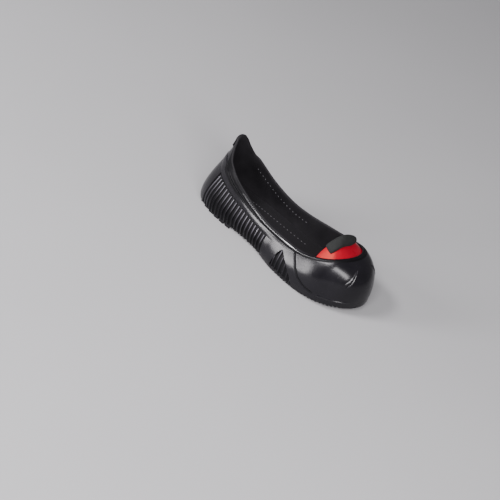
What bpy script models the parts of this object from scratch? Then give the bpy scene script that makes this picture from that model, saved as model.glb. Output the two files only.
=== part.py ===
"""Overshoe for the right foot, with a protective toe cap.

A thin moulded rubber shell on a treaded sole, an insole, a coated toe cap that shows behind the
rubber's throat, and a foam pad along the cap's rear edge. The toe points along +X, the inner side of
the foot is +Y, and the shoe stands on z = 0. Tables are in millimetres, objects in metres.
"""

import bmesh
import bpy
import numpy as np

MM = 0.001

# Driving sizes, in millimetres
LENGTH = 286.0
WALL = 2.8
GAP = 0.3
SIDE_HEIGHT = 8.0
INSOLE_THICKNESS = 3.0
CAP_THICKNESS = 2.0
PAD_THICKNESS = 4.4

# The last, a row for each station from heel to toe. The sole's edge and the collar are closed curves
# through these rows, forward along the lateral side and back along the medial side. The wall between
# them leaves the edge by low_out and low_up, and comes to the collar from high_out and high_up.
LAST_COLUMNS = ("along", "lateral", "medial", "lift", "collar_along", "collar_lateral", "collar_medial",
                "collar_height", "medial_rise", "low_out", "low_up", "high_out", "high_up")
LAST_ROWS = {
    "heel_back":   (0, 0, 0, 7, 23, 0, 0, 96, 0, 3, 26, 3, -30),
    "heel_corner": (9, -26, 26, 6, 31, -18, 19, 87, 0, 4, 25, 5, -28),
    "heel_side":   (38, -40, 39, 4, 51, -29, 29, 72, 0, 5, 22, 5, -24),
    "waist_rear":  (82, -42, 39, 6, 86, -33, 32, 57, 0, 6, 19, 5, -18),
    "waist":       (128, -43, 38, 6, 126, -37, 36, 48, 0, 6, 17, 4, -16),
    "ball_rear":   (172, -49, 45, 2, 166, -40, 40, 47, 2, 6, 18, 5, -16),
    "ball":        (208, -51, 50.5, 2, 198, -39, 42, 48, 5, 4, 24, 7, -13),
    "toe_joint":   (240, -47, 50, 4, 224, -33, 38, 55, 5, 3, 30, 12, -8),
    "toe_side":    (264, -35, 40, 6, 241, -25, 31, 63, 2, 4, 34, 14, -6),
    "toe_corner":  (280, -17, 25, 8, 250, -12, 19, 67, 0, 4, 36, 18, -3),
    "toe_tip":     (286, 5, 5, 9, 253, 4, 4, 68, 0, 4, 37, 20, -2),
}

# Heel tab: a thicker tongue of the collar, over the heel's back, with a dip of the collar beside it
TAB_RISE = 9.0
TAB_HALF = 23.0
TAB_POWER = 4
TAB_DIP_RUN = 41.0
TAB_DIP_HALF = 9.0
TAB_DIP_DEPTH = 2.5
TAB_STEP = 1.2
TAB_STEP_HALF = 10.0

# Ribbed side panels, placed by the run along the sole's edge from the heel's back
PANEL_START = 38.0
PANEL_END = 166.0
PANEL_RIBS = 19
PANEL_TOP = 0.71
RIB_CREST = -0.4
RIB_GROOVE = -1.6
STEP_RUN = 1.5
STEP_LEVEL = 0.02
PANEL_SHARES = (0.0, 0.35, 0.7, 1.0)

# Lean of the ribs along the shoe: how far forward a rib comes per level below the panel's top
LEAN_ROWS = {
    "heel_back":   {"run": 0, "lean": 0},
    "panel_start": {"run": PANEL_START, "lean": 12},
    "panel_end":   {"run": PANEL_END, "lean": -3},
    "fin":         {"run": 203, "lean": -8},
    "toe":         {"run": 245, "lean": 0},
}

# Fin-shaped rib patch ahead of each panel: its outline as run and level, 0 at the edge, 1 at the collar
FIN_ROWS = {
    "rear_foot":  {"run": 192, "level": 0.08},
    "rear_edge":  {"run": 196, "level": 0.50},
    "apex":       {"run": 202, "level": 0.75},
    "front_edge": {"run": 214, "level": 0.50},
    "front_foot": {"run": 232, "level": 0.08},
}
FIN_RIBS = 6
FIN_FOOT_HEIGHT = 4.0
FIN_FOOT_STEP = 1.0

# Collar: levels and reliefs of the lines below its rim, from the cuff band up
RIM_ROWS = {
    "cuff_bulge":  {"level": 0.80, "relief": 0.3},
    "cuff_top":    {"level": 0.865, "relief": 0.0},
    "rim_groove":  {"level": 0.890, "relief": -0.6},
    "bead_bottom": {"level": 0.915, "relief": 0.5},
    "bead_middle": {"level": 0.955, "relief": 0.9},
    "bead_top":    {"level": 1.0, "relief": 0.4},
}
RIM_ROUND = 1.4
INNER_LEVELS = (1.0, 0.74, 0.42)

# Columns of the shell between the ribbed parts
HEEL_RUNS = (0, 5, TAB_STEP_HALF, TAB_STEP_HALF + STEP_RUN, 15, 20, 27)
SMOOTH_COLUMNS = 3
BALL_COLUMNS = 3
TOE_COLUMNS = 11
ACROSS = 2

# Tread: blocks under forefoot and heel, and ribs across the arch
TREAD_FIELDS = {
    "heel":     {"rear": -128, "front": -62, "rows": 6},
    "forefoot": {"rear": 4, "front": 120, "rows": 12},
}
TREAD_GROOVE = 2.6
BLOCK_WIDTH = 11.8
BLOCK_WAVE = 1.1
TREAD_MARGIN = 2.5
TOE_LIP = 13.0
TOE_LIP_START = 78.0
SOLE_RECESS = 1.2
RECESS_MARGIN = 3.0
TREAD_DEPTH = 2.4
ROOT = 1.0
ARCH_REAR = -54.0
ARCH_FRONT = -3.0
ARCH_RIBS = 8
ARCH_RIB_DEPTH = 2.0
EDGE_POINTS = 720
EDGE_BAND = 2.5

# Toe cap and its pad, by the run where the cap's rear edge leaves the wall. The rear edge is bowed
# forward between its ends, and the crown leaves the rim steeper than the wall does.
CAP_REAR_RUN = 252.5
CAP_BOW = 29.0
CAP_BOW_SKEW = 1.5
CROWN_POINTS = 6
CROWN_FULLNESS = 0.54
CROWN_LIFT = 0.35
CROWN_LIFT_FADE = 0.25
PAD_DEPTH = 43.0
PAD_END_DEPTHS = (21.0, 19.0)
PAD_SKEW = 0.85
PAD_OVERHANG = 2.0
PAD_REAR_SPAN = (0.155, 0.90)
PAD_FRONT_SPAN = (0.085, 0.90)
PAD_EDGE_THICKNESS = 0.4
PAD_ACROSS = 15
PAD_ALONG = 5

RUBBER = {"colour": (0.017, 0.016, 0.021), "roughness": 0.32, "metallic": 0.0}
SOLE_RUBBER = {"colour": (0.018, 0.017, 0.021), "roughness": 0.45, "metallic": 0.0}
SOCK = {"colour": (0.010, 0.010, 0.011), "roughness": 0.85, "metallic": 0.0}
RED_COAT = {"colour": (0.55, 0.012, 0.030), "roughness": 0.38, "metallic": 0.0}
FOAM = {"colour": (0.028, 0.031, 0.030), "roughness": 0.8, "metallic": 0.0}


def last_column(name):
    """One named column of the last's table, heel to toe."""
    return np.array([row[LAST_COLUMNS.index(name)] for row in LAST_ROWS.values()], float)


class PeriodicSpline:
    """A smooth closed curve through values at rising knots."""

    def __init__(self, knots, period, values):
        count = len(knots)
        steps = np.diff(np.append(knots, period))
        matrix = np.zeros((count, count))
        right = np.zeros_like(values)
        for i in range(count):
            before, after = steps[i - 1], steps[i]
            following = (i + 1) % count
            matrix[i, i - 1] += before / 6
            matrix[i, i] += (before + after) / 3
            matrix[i, following] += after / 6
            right[i] = (values[following] - values[i]) / after - (values[i] - values[i - 1]) / before
        self.knots, self.period, self.values, self.steps = knots, period, values, steps
        self.bends = np.linalg.solve(matrix, right)

    def at(self, place):
        place = np.mod(place, self.period)
        i = np.clip(np.searchsorted(self.knots, place, side="right") - 1, 0, len(self.knots) - 1)
        j = (i + 1) % len(self.knots)
        step = self.steps[i][..., None]
        done = (place - self.knots[i])[..., None]
        left = step - done
        curve = (self.bends[i] * left ** 3 + self.bends[j] * done ** 3) / (6 * step)
        line_i = (self.values[i] / step - self.bends[i] * step / 6) * left
        line_j = (self.values[j] / step - self.bends[j] * step / 6) * done
        return curve + line_i + line_j


class Wall:
    """The shoe's outside: at each place round the sole's edge, a curve up to the collar."""

    def __init__(self):
        table = {name: last_column(name) for name in LAST_COLUMNS}

        def side(order, edge_y, collar_y, rise):
            columns = (table["along"] - LENGTH / 2, edge_y, table["lift"],
                       table["collar_along"] - LENGTH / 2, collar_y, table["collar_height"] + rise,
                       table["low_out"], table["low_up"], table["high_out"], table["high_up"])
            return np.column_stack(columns)[order]

        last = len(LAST_ROWS) - 1
        forward = side(slice(None), table["lateral"], table["collar_lateral"], 0)
        back = side(slice(last - 1, 0, -1), table["medial"], table["collar_medial"], table["medial_rise"])
        loop = np.vstack([forward, back])
        spans = np.linalg.norm(np.diff(np.vstack([loop, loop[:1]])[:, :2], axis=0), axis=1)
        knots = np.concatenate([[0], np.cumsum(spans)[:-1]])
        self.period = spans.sum()
        self.reach = knots[last]
        self.spline = PeriodicSpline(knots, self.period, loop)

    def place(self, run, lateral):
        """The place round the loop of a run from the heel's back, on either side."""
        if lateral:
            return np.asarray(run, float)
        return self.period - np.asarray(run, float) * (self.period - self.reach) / self.reach

    def out(self, place):
        nudge = 0.01
        ahead = self.spline.at(place + nudge)[..., :2] - self.spline.at(place - nudge)[..., :2]
        ahead /= np.linalg.norm(ahead, axis=-1, keepdims=True)
        return np.stack([ahead[..., 1], -ahead[..., 0], np.zeros_like(place)], axis=-1)

    def point(self, place, level):
        place, level = np.broadcast_arrays(np.asarray(place, float), np.asarray(level, float))
        values = self.spline.at(place)
        from_heel = np.minimum(np.mod(place, self.period), self.period - np.mod(place, self.period))
        edge, collar = values[..., 0:3], values[..., 3:6].copy()
        collar[..., 2] += TAB_RISE * np.exp(-(from_heel / TAB_HALF) ** TAB_POWER)
        collar[..., 2] -= TAB_DIP_DEPTH * np.exp(-((from_heel - TAB_DIP_RUN) / TAB_DIP_HALF) ** 2)
        out, up = self.out(place), np.array([0.0, 0.0, 1.0])
        low = edge + out * values[..., 6:7] + up * values[..., 7:8]
        high = collar + out * values[..., 8:9] + up * values[..., 9:10]
        done = level[..., None]
        left = 1 - done
        below = left ** 3 * edge + 3 * left ** 2 * done * low
        return below + 3 * left * done ** 2 * high + done ** 3 * collar

    def rise_direction(self, place, level):
        nudge = 0.004
        rise = self.point(place, level + nudge) - self.point(place, level - nudge)
        return rise / np.linalg.norm(rise, axis=-1, keepdims=True)

    def normal(self, place, level):
        nudge = 0.4
        ahead = self.point(place + nudge, level) - self.point(place - nudge, level)
        normal = np.cross(ahead, self.rise_direction(place, level))
        return normal / np.linalg.norm(normal, axis=-1, keepdims=True)

    def offset(self, place, level, relief):
        place, level, relief = np.broadcast_arrays(place, level, relief)
        return self.point(place, level) + self.normal(place, level) * relief[..., None]

    def level_at_height(self, place, height):
        """The level where the wall is this high, in its lower half."""
        low, high = np.zeros_like(place), np.full_like(place, 0.6)
        for _ in range(40):
            middle = (low + high) / 2
            below = self.point(place, middle)[..., 2] < height
            low, high = np.where(below, middle, low), np.where(below, high, middle)
        return (low + high) / 2

    def parting_height(self, place):
        return self.point(place, 0.0)[..., 2] + SIDE_HEIGHT


WALL_SHAPE = Wall()


def fin_level(run):
    runs = [corner["run"] for corner in FIN_ROWS.values()]
    return np.interp(run, runs, [corner["level"] for corner in FIN_ROWS.values()])


def rib_columns(start, end, ribs):
    """Runs and reliefs of a ribbed stretch, from groove to groove with a crest between."""
    runs = np.linspace(start, end, 2 * ribs + 1)
    reliefs = np.where(np.arange(len(runs)) % 2 == 0, RIB_GROOVE, RIB_CREST)
    return runs, reliefs


def toe_runs():
    """Runs round the toe from the cap's rear edge, shared by the shell and the cap."""
    return np.linspace(CAP_REAR_RUN, WALL_SHAPE.reach, TOE_COLUMNS + 1)


def side_columns():
    """Runs from heel to toe, each with its rib relief and the level where that relief ends."""
    fin = FIN_ROWS["rear_foot"]["run"], FIN_ROWS["front_foot"]["run"]
    panel_runs, panel_reliefs = rib_columns(PANEL_START, PANEL_END, PANEL_RIBS)
    fin_runs, fin_reliefs = rib_columns(fin[0], fin[-1], FIN_RIBS)
    fin_reliefs[[0, -1]] = 0.0
    smooth = np.linspace(PANEL_END + STEP_RUN, fin[0], SMOOTH_COLUMNS + 1)[:-1]
    ball = np.linspace(fin[-1], CAP_REAR_RUN, BALL_COLUMNS + 1)[1:]
    toe = np.concatenate([ball, toe_runs()[1:]])
    heel = np.append(HEEL_RUNS, PANEL_START - STEP_RUN)
    runs = np.concatenate([heel, panel_runs, smooth, fin_runs, toe])
    reliefs = np.concatenate([heel * 0, panel_reliefs, smooth * 0, fin_reliefs, toe * 0])
    tops = np.full(len(runs), PANEL_TOP)
    in_fin = (runs >= fin[0]) & (runs <= fin[-1])
    tops[in_fin] = fin_level(runs[in_fin])
    return runs, reliefs, tops


def lean(run, level):
    """How far forward a column stands at a level, so that ribs lean as moulded."""
    rows = LEAN_ROWS.values()
    amount = np.interp(run, [stop["run"] for stop in rows], [stop["lean"] for stop in rows])
    return amount * (PANEL_TOP - level)


def both_sides(per_side):
    """Columns right round the shoe from the heel's back, lateral side first, as one array per item."""
    runs, reliefs, tops = per_side
    sides = []
    for lateral, order in ((True, slice(None)), (False, slice(len(runs) - 2, 0, -1))):
        flags = np.full(len(runs), lateral)
        sides.append([runs[order], reliefs[order], tops[order], flags[order]])
    return [np.concatenate(pair) for pair in zip(*sides)]


def places(run, lateral):
    return np.where(lateral, WALL_SHAPE.place(run, True), WALL_SHAPE.place(run, False))


COLUMNS = side_columns()
RUN, RELIEF, TOP, LATERAL = both_sides(COLUMNS)


def row(level, relief):
    """One ring of points on the wall, at a level and relief for each column."""
    level = np.broadcast_to(level, RUN.shape)
    return WALL_SHAPE.offset(places(RUN + lean(RUN, level), LATERAL), level, relief)


def at_height(points, height):
    points = points.copy()
    points[:, 2] = height
    return points


def new_object(name, vertices, faces, material):
    mesh = bpy.data.meshes.new(name)
    mesh.from_pydata((np.asarray(vertices) * MM).tolist(), [], faces)
    shape = bmesh.new()
    shape.from_mesh(mesh)
    bmesh.ops.remove_doubles(shape, verts=shape.verts, dist=0.002 * MM)
    bmesh.ops.dissolve_degenerate(shape, edges=shape.edges, dist=0.001 * MM)
    bmesh.ops.recalc_face_normals(shape, faces=shape.faces)
    if shape.calc_volume(signed=True) < 0:
        bmesh.ops.reverse_faces(shape, faces=shape.faces)
    shape.to_mesh(mesh)
    shape.free()
    obj = bpy.data.objects.new(name, mesh)
    bpy.context.scene.collection.objects.link(obj)
    finish = bpy.data.materials.new(name)
    finish.use_nodes = True
    shader = finish.node_tree.nodes["Principled BSDF"]
    shader.inputs["Base Color"].default_value = (*material["colour"], 1.0)
    shader.inputs["Roughness"].default_value = material["roughness"]
    shader.inputs["Metallic"].default_value = material["metallic"]
    mesh.materials.append(finish)
    return obj


def band_faces(lower, upper):
    """Quads between two closed rings of vertex numbers."""
    count = len(lower)
    return [(lower[i], lower[(i + 1) % count], upper[(i + 1) % count], upper[i]) for i in range(count)]


def ring_stack(rings):
    """Vertices and faces of rings joined in order."""
    count = len(rings[0])
    numbers = [list(range(k * count, (k + 1) * count)) for k in range(len(rings))]
    faces = []
    for lower, upper in zip(numbers, numbers[1:]):
        faces += band_faces(lower, upper)
    return np.vstack(rings), faces, numbers


def ladder_fill(vertices, ring):
    """Fill a closed ring with rows that run from each lateral point to its medial partner."""
    half = len(ring) // 2
    vertices = list(vertices)
    rows = [[ring[0]] * (ACROSS + 1)]
    for i in range(1, half):
        left, right = ring[i], ring[-i]
        inner = []
        for k in range(1, ACROSS):
            inner.append(len(vertices))
            share = k / ACROSS
            vertices.append(np.asarray(vertices[left]) * (1 - share) + np.asarray(vertices[right]) * share)
        rows.append([left, *inner, right])
    rows.append([ring[half]] * (ACROSS + 1))
    faces = []
    for one, two in zip(rows, rows[1:]):
        for k in range(ACROSS):
            corners = [one[k], one[k + 1], two[k + 1], two[k]]
            faces.append(tuple(dict.fromkeys(corners)))
    return np.array(vertices), faces


def build_upper():
    """The rubber shell: outer rows up to the rim, over it, and down the inside."""
    place = places(RUN, LATERAL)
    bottom = WALL_SHAPE.parting_height(place) + GAP / 2
    start = WALL_SHAPE.level_at_height(place, bottom)
    top = np.maximum(TOP, start + 3 * STEP_LEVEL)
    rings = []
    for share in PANEL_SHARES:
        rings.append(row(start + (top - STEP_LEVEL - start) * share, RELIEF))
    rings[0] = at_height(rings[0], bottom)
    rings.append(row(top, 0.0))
    tab = np.where(RUN <= TAB_STEP_HALF, TAB_STEP, 0.0)
    for name, line in RIM_ROWS.items():
        relief = line["relief"] + (tab if name != "cuff_bulge" else 0)
        rings.append(row(np.maximum(line["level"], top + STEP_LEVEL), relief))
    crest = row(1.0, -WALL / 2) + WALL_SHAPE.rise_direction(place, np.ones_like(place)) * RIM_ROUND
    rings.append(crest)
    for level in INNER_LEVELS:
        rings.append(row(level, -WALL))
    rings.append(row(WALL_SHAPE.level_at_height(place, cap_foot(place)), -WALL))
    rings.append(at_height(row(start, -WALL), bottom))
    vertices, faces, numbers = ring_stack(rings)
    faces += band_faces(numbers[-1], numbers[0])
    return new_object("upper", vertices, faces, RUBBER)


def sole_edge():
    """The sole's lower edge as dense points, for widths and margins."""
    return WALL_SHAPE.point(np.linspace(0, WALL_SHAPE.period, EDGE_POINTS, endpoint=False), 0.0)


def lift_at(x):
    return np.interp(x, last_column("along") - LENGTH / 2, last_column("lift"))


def width_at(edge, x, margin):
    """Lateral and medial limits of the tread at x, a margin inside the sole's edge."""
    band = edge[np.abs(edge[:, 0] - x) < EDGE_BAND]
    return band[:, 1].min() + margin, band[:, 1].max() - margin


def prism(corners, lower, upper):
    """Vertices and faces of a block from its plan corners and heights."""
    count = len(corners)
    points = [(x, y, z) for heights in (lower, upper) for (x, y), z in zip(corners, heights)]
    faces = [tuple(range(count - 1, -1, -1)), tuple(range(count, 2 * count))]
    for i in range(count):
        j = (i + 1) % count
        faces.append((i, j, count + j, count + i))
    return points, faces


def tread_floor(x):
    """Height of the tread's face: flat on the ground, then up with the toe spring."""
    return max(0.0, float(lift_at(x)) - TREAD_DEPTH) if x > 0 else 0.0


def row_limits(edge, rear, front):
    """Where a row of blocks starts and ends, inside the edge and behind the toe's smooth lip."""
    limits = []
    for x in (rear, front):
        margin = TREAD_MARGIN
        if x > TOE_LIP_START:
            blend = (x - TOE_LIP_START) / (LENGTH / 2 - TOE_LIP_START)
            margin += (TOE_LIP - TREAD_MARGIN) * blend
            x = x + TOE_LIP * blend
        limits.append(width_at(edge, x, margin))
    return max(limit[0] for limit in limits), min(limit[1] for limit in limits)


def tread_blocks(edge):
    """Rows of wavy blocks that fill heel and forefoot from side to side."""
    for field in TREAD_FIELDS.values():
        pitch = (field["front"] - field["rear"]) / field["rows"]
        for i in range(field["rows"]):
            x0 = field["rear"] + i * pitch + TREAD_GROOVE / 2
            x1 = x0 + pitch - TREAD_GROOVE
            lateral, medial = row_limits(edge, x0, x1)
            across = max(1, round((medial - lateral) / BLOCK_WIDTH))
            width = (medial - lateral) / across
            for k in range(across):
                y0 = lateral + k * width + (TREAD_GROOVE / 2 if k else 0)
                y1 = lateral + (k + 1) * width - (TREAD_GROOVE / 2 if k < across - 1 else 0)
                wave = BLOCK_WAVE * (1 if k % 2 else -1)
                corners = [(x0 - wave, y0), (x1 - wave, y0), (x1 + wave, y1), (x0 + wave, y1)]
                yield corners, [tread_floor(x) for x, _ in corners]


def arch_ribs(edge):
    """Ribs across the arch, level with the side ribs."""
    pitch = (ARCH_FRONT - ARCH_REAR) / ARCH_RIBS
    for i in range(ARCH_RIBS):
        x0 = ARCH_REAR + i * pitch
        x1 = x0 + pitch / 2
        lateral, medial = width_at(edge, (x0 + x1) / 2, TREAD_MARGIN)
        corners = [(x0, lateral), (x1, lateral), (x1, medial), (x0, medial)]
        yield corners, [float(lift_at(x)) - ARCH_RIB_DEPTH for x, _ in corners]


def build_tread():
    """Every block and rib under the sole, rooted in its base."""
    edge = sole_edge()
    vertices, faces = [], []
    for corners, lower in [*tread_blocks(edge), *arch_ribs(edge)]:
        upper = [float(lift_at(x)) + SOLE_RECESS + ROOT for x, _ in corners]
        points, sides = prism(corners, lower, upper)
        faces += [tuple(index + len(vertices) for index in side) for side in sides]
        vertices += points
    return new_object("tread", vertices, faces, SOLE_RUBBER)


def build_outsole():
    """The sole's base with its ribbed side, and the tread joined to it."""
    place = places(RUN, LATERAL)
    top = WALL_SHAPE.parting_height(place) - GAP / 2
    end = WALL_SHAPE.level_at_height(place, top)
    in_fin = (RUN >= FIN_ROWS["rear_foot"]["run"]) & (RUN <= FIN_ROWS["front_foot"]["run"])
    foot = np.where(in_fin, 0.0, RELIEF)
    edge = row(0.0, foot)
    recess = edge - WALL_SHAPE.out(place) * RECESS_MARGIN
    recess[:, 2] += SOLE_RECESS
    rings = [recess, edge]
    for height, relief in ((FIN_FOOT_HEIGHT - FIN_FOOT_STEP, foot), (FIN_FOOT_HEIGHT, RELIEF)):
        rings.append(row(WALL_SHAPE.level_at_height(place, edge[:, 2] + height), relief))
    rings.append(at_height(row(end, RELIEF), top))
    rings.append(rings[-1] - WALL_SHAPE.out(place) * WALL)
    vertices, faces, numbers = ring_stack(rings)
    for ring in (numbers[0], numbers[-1]):
        vertices, fill = ladder_fill(vertices, ring)
        faces += fill
    sole = new_object("outsole", vertices, faces, SOLE_RUBBER)
    tread = build_tread()
    join = sole.modifiers.new("tread", "BOOLEAN")
    join.operation = "UNION"
    join.object = tread
    bpy.context.view_layer.update()
    shape = bpy.data.meshes.new_from_object(sole.evaluated_get(bpy.context.evaluated_depsgraph_get()))
    sole.modifiers.clear()
    sole.data = shape
    bpy.data.objects.remove(tread)
    return sole


def build_insole():
    """A flat sheet on the sole, just inside the shell."""
    place = places(RUN, LATERAL)
    bottom = WALL_SHAPE.parting_height(place) + GAP / 2
    start = WALL_SHAPE.level_at_height(place, bottom)
    top = bottom + INSOLE_THICKNESS
    out = WALL_SHAPE.out(place)
    lower = at_height(row(start, -WALL) - out * GAP, bottom)
    upper = at_height(row(WALL_SHAPE.level_at_height(place, top), -WALL) - out * 2 * GAP, top)
    keep = np.concatenate([np.arange(0, len(COLUMNS[0]) - 1, 2), [len(COLUMNS[0]) - 1]])
    keep = np.concatenate([keep, (len(RUN) - keep[1:-1])[::-1]])
    vertices, faces, numbers = ring_stack([lower[keep], upper[keep]])
    for ring in numbers:
        vertices, fill = ladder_fill(vertices, ring)
        faces += fill
    return new_object("insole", vertices, faces, SOCK)


def cap_foot(place):
    """Height of the cap's lower edge, just over the insole."""
    return WALL_SHAPE.parting_height(place) + GAP / 2 + INSOLE_THICKNESS + GAP


def cap_arch(run, depth):
    """The cap's walls at a run, lateral and medial, and the directions in which they end."""
    sides, ends = [], []
    for lateral in (True, False):
        start = WALL_SHAPE.place(run, lateral)[None]
        foot = WALL_SHAPE.level_at_height(start, cap_foot(start))
        levels = np.concatenate([foot, INNER_LEVELS[::-1]])
        place = WALL_SHAPE.place(run + lean(run, levels), lateral)
        sides.append(WALL_SHAPE.offset(place, levels, -depth))
        ends.append(WALL_SHAPE.rise_direction(place[-1:], np.array([1.0]))[0])
    return sides, ends


def crown(run, depth, share):
    """A point on the crown, from 0 at the lateral rim to 1 at the medial rim."""
    to_go = (WALL_SHAPE.reach - run) / (WALL_SHAPE.reach - CAP_REAR_RUN)
    bowed = run + CAP_BOW * np.sin(np.pi * share ** CAP_BOW_SKEW) * to_go
    (lateral, medial), rises = cap_arch(bowed, depth)
    start, end = lateral[-1], medial[-1]
    reach = CROWN_FULLNESS * np.linalg.norm(end - start)
    lift = np.array([0.0, 0.0, CROWN_LIFT * to_go ** CROWN_LIFT_FADE])
    one, two = [point + (rise + lift) * reach for point, rise in zip((start, end), rises)]
    keep = 1 - share
    return keep ** 3 * start + 3 * keep ** 2 * share * one + 3 * keep * share ** 2 * two + share ** 3 * end


def cap_section(run, depth):
    (left, right), _ = cap_arch(run, depth)
    top = [crown(run, depth, k / (CROWN_POINTS + 1)) for k in range(1, CROWN_POINTS + 1)]
    return np.vstack([left, top, right[::-1]])


def sheet_solid(outer, inner, front_meets=False):
    """A closed solid from two grids of points, with a rim round the edges that stay free.

    Where the front row folds onto itself, its points merge and it needs no rim.
    """
    rows, count = outer.shape[:2]
    vertices = np.vstack([outer.reshape(-1, 3), inner.reshape(-1, 3)])
    shift = rows * count
    faces = []
    for i in range(rows - 1):
        for k in range(count - 1):
            quad = [i * count + k, i * count + k + 1, (i + 1) * count + k + 1, (i + 1) * count + k]
            faces += [tuple(quad), tuple(index + shift for index in reversed(quad))]
    border = [i * count for i in range(rows - 1, 0, -1)]
    border += [k for k in range(count)]
    border += [i * count + count - 1 for i in range(1, rows)]
    if not front_meets:
        border += [(rows - 1) * count + k for k in range(count - 2, -1, -1)]
    for one, two in zip(border, border[1:]):
        faces.append((one, one + shift, two + shift, two))
    return vertices, faces


def build_toe_cap():
    """A domed shell inside the toe, from the insole up and back past the rubber's throat."""
    depth = WALL + GAP
    outer = np.array([cap_section(run, depth) for run in toe_runs()])
    inner = np.array([cap_section(run, depth + CAP_THICKNESS) for run in toe_runs()])
    vertices, faces = sheet_solid(outer, inner, front_meets=True)
    return new_object("toe_cap", vertices, faces, RED_COAT)


def pad_middle(across):
    """How far into the pad's middle a place across it is, from 0 at its ends to 1."""
    return 1 - (2 * across ** PAD_SKEW - 1) ** 2


def pad_depth(across):
    """How deep the pad reaches forward, from 0 at its lateral end to 1 at its medial end."""
    end = np.interp(across, (0, 1), PAD_END_DEPTHS)
    return end + (PAD_DEPTH - end) * pad_middle(across)


def build_pad():
    """A foam strip over the cap's rear edge, deepest in the middle and thin at its borders."""
    along = np.linspace(0, 1, PAD_ALONG)
    lower, upper = [], []
    for across in np.linspace(0, 1, PAD_ACROSS):
        rear, front = np.interp(across, (0, 1), PAD_REAR_SPAN), np.interp(across, (0, 1), PAD_FRONT_SPAN)
        depth, middle = pad_depth(across), pad_middle(across)
        for top, store in ((False, lower), (True, upper)):
            line = []
            for step in along:
                run = CAP_REAR_RUN - PAD_OVERHANG + depth * step
                swell = (4 * step * (1 - step)) ** 0.4 * min(1.0, 4 * middle) ** 0.5
                thickness = PAD_EDGE_THICKNESS + (PAD_THICKNESS - PAD_EDGE_THICKNESS) * swell
                line.append(crown(run, WALL - (thickness if top else 0), rear + (front - rear) * step))
            store.append(line)
    vertices, faces = sheet_solid(np.array(upper), np.array(lower))
    return new_object("cap_edge_pad", vertices, faces, FOAM)


def main():
    for obj in list(bpy.data.objects):
        bpy.data.objects.remove(obj)
    build_upper()
    build_outsole()
    build_insole()
    build_toe_cap()
    build_pad()


main()
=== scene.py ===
"""Looks of the overshoe: moulded rubber shell and sole, insole, coated toe cap and foam pad.

Each piece is made again in fine detail from the last that the part's solids come from. Tables and shapes
are in millimetres and objects in metres. The toe points along +X and the inner side of the foot is +Y.
"""

import math

import bpy
import numpy as np
from mathutils import Matrix, Vector


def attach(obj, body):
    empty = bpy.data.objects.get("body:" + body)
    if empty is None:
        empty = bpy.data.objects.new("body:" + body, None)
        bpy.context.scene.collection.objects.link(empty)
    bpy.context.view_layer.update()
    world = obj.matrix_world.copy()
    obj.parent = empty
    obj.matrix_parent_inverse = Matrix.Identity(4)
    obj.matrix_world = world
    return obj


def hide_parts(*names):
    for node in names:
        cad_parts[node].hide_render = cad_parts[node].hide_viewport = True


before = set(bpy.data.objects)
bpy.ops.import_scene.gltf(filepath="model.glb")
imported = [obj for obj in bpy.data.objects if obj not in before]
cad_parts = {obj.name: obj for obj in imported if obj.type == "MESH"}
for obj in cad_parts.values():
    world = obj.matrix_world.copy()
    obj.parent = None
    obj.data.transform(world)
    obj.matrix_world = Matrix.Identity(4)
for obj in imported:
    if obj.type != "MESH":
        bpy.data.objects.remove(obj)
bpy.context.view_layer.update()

MM = 0.001
BODY = "root"

# Sizes shared with the part's solids, in millimetres
LENGTH = 286.0
WALL = 2.8
SIDE_HEIGHT = 8.0
INSOLE_THICKNESS = 3.0
GAP = 0.3
CAP_THICKNESS = 2.0
PAD_THICKNESS = 4.4

# The last, a row for each station from heel to toe, as in the part's solids
LAST_COLUMNS = ("along", "lateral", "medial", "lift", "collar_along", "collar_lateral", "collar_medial",
                "collar_height", "medial_rise", "low_out", "low_up", "high_out", "high_up")
LAST_ROWS = {
    "heel_back":   (0, 0, 0, 7, 23, 0, 0, 96, 0, 3, 26, 3, -30),
    "heel_corner": (9, -26, 26, 6, 31, -18, 19, 87, 0, 4, 25, 5, -28),
    "heel_side":   (38, -40, 39, 4, 51, -29, 29, 72, 0, 5, 22, 5, -24),
    "waist_rear":  (82, -42, 39, 6, 86, -33, 32, 57, 0, 6, 19, 5, -18),
    "waist":       (128, -43, 38, 6, 126, -37, 36, 48, 0, 6, 17, 4, -16),
    "ball_rear":   (172, -49, 45, 2, 166, -40, 40, 47, 2, 6, 18, 5, -16),
    "ball":        (208, -51, 50.5, 2, 198, -39, 42, 48, 5, 4, 24, 7, -13),
    "toe_joint":   (240, -47, 50, 4, 224, -33, 38, 55, 5, 3, 30, 12, -8),
    "toe_side":    (264, -35, 40, 6, 241, -25, 31, 63, 2, 4, 34, 14, -6),
    "toe_corner":  (280, -17, 25, 8, 250, -12, 19, 67, 0, 4, 36, 18, -3),
    "toe_tip":     (286, 5, 5, 9, 253, 4, 4, 68, 0, 4, 37, 20, -2),
}

# Heel tab: a thicker tongue of the collar over the heel's back, with a dip of the collar beside it
TAB_RISE = 9.0
TAB_HALF = 23.0
TAB_POWER = 4
TAB_DIP = {"run": 41.0, "half": 9.0, "depth": 2.5}
TAB_STEP = 1.9
TAB_STEP_HALF = 14.0
TAB_LEVEL = 0.87

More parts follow.
